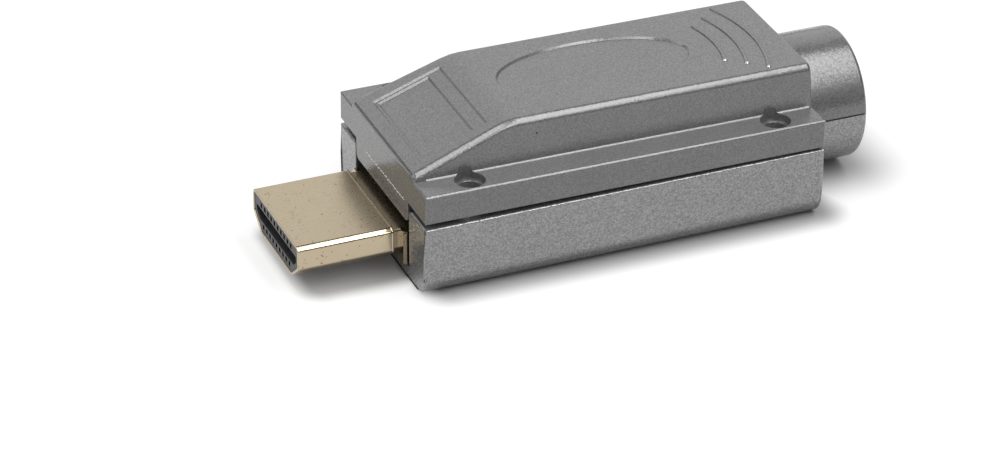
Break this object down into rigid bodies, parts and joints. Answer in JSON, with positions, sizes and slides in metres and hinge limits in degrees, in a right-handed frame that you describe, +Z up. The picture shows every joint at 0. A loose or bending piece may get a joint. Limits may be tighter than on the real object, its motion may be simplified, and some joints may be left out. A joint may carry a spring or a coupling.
{
  "type": "audio video cable plug",
  "caption": "Field-wired cable plug: plated trapezoid nose, two-half metal shell with a sloped raised roof, split cable tube and screw terminals inside.",
  "frame": {"origin": "under the middle of the whole plug, on the surface that it lies on", "axes": "+X towards the cable tube, -X towards the plug's nose, +Z up out of the roof, +Y to the left of the nose's view"},
  "size_m": [0.0656, 0.025, 0.0169],
  "materials": {
    "shell_paint": "satin silver paint with fine flake",
    "plug_plating": "satin pale gold plating",
    "contact_plating": "gold plating",
    "dark_core": "matt moulded",
    "board": "satin solder mask",
    "terminal_plastic": "satin moulded",
    "tinned_metal": "bright tin plating"
  },
  "bodies": {
    "root": {"lower_shell": "shell_paint", "upper_shell": "shell_paint", "plug_shell": "plug_plating", "plug_collar": "plug_plating", "plug_insulator": "dark_core", "upper_contact_1": "contact_plating", "upper_contact_2": "contact_plating", "upper_contact_3": "contact_plating", "upper_contact_4": "contact_plating", "upper_contact_5": "contact_plating", "upper_contact_6": "contact_plating", "upper_contact_7": "contact_plating", "upper_contact_8": "contact_plating", "upper_contact_9": "contact_plating", "upper_contact_10": "contact_plating", "lower_contact_1": "contact_plating", "lower_contact_2": "contact_plating", "lower_contact_3": "contact_plating", "lower_contact_4": "contact_plating", "lower_contact_5": "contact_plating", "lower_contact_6": "contact_plating", "lower_contact_7": "contact_plating", "lower_contact_8": "contact_plating", "lower_contact_9": "contact_plating", "circuit_board": "board", "terminal_block_near": "terminal_plastic", "terminal_block_far": "terminal_plastic", "wire_clamp_near_1": "tinned_metal", "wire_clamp_near_2": "tinned_metal", "wire_clamp_near_3": "tinned_metal", "wire_clamp_near_4": "tinned_metal", "wire_clamp_near_5": "tinned_metal", "wire_clamp_near_6": "tinned_metal", "wire_clamp_near_7": "tinned_metal", "wire_clamp_near_8": "tinned_metal", "wire_clamp_near_9": "tinned_metal", "wire_clamp_near_10": "tinned_metal", "wire_clamp_far_1": "tinned_metal", "wire_clamp_far_2": "tinned_metal", "wire_clamp_far_3": "tinned_metal", "wire_clamp_far_4": "tinned_metal", "wire_clamp_far_5": "tinned_metal", "wire_clamp_far_6": "tinned_metal", "wire_clamp_far_7": "tinned_metal", "wire_clamp_far_8": "tinned_metal", "wire_clamp_far_9": "tinned_metal", "wire_clamp_far_10": "tinned_metal", "clamp_screws_near": "tinned_metal", "clamp_screws_far": "tinned_metal", "terminal_pins_near": "tinned_metal", "terminal_pins_far": "tinned_metal"}
  },
  "joints": []
}
